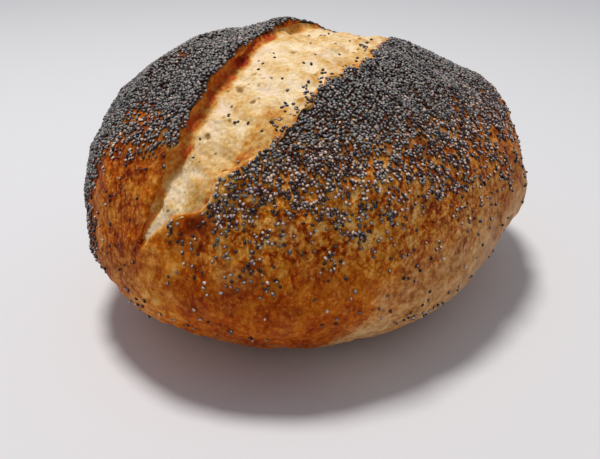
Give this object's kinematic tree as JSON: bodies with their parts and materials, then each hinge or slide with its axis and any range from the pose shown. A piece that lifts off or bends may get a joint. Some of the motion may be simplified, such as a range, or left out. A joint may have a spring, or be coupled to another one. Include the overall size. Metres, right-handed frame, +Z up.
{
  "type": "poppy seed bread loaf",
  "caption": "Oval hearth-baked bread loaf, its crown covered in poppy seed, with one long open cut that shows pale crumb under a raised lip of crust.",
  "frame": {"origin": "on the table under the middle of the loaf", "axes": "+X along the loaf and its cut, +Y towards the raised lip of the cut, +Z up"},
  "size_m": [0.1984, 0.1554, 0.109],
  "materials": {
    "crust": "baked amber crust, dry and slightly glossy, with blue-black seed over the crown"
  },
  "bodies": {
    "root": {"loaf": "crust"}
  },
  "joints": []
}
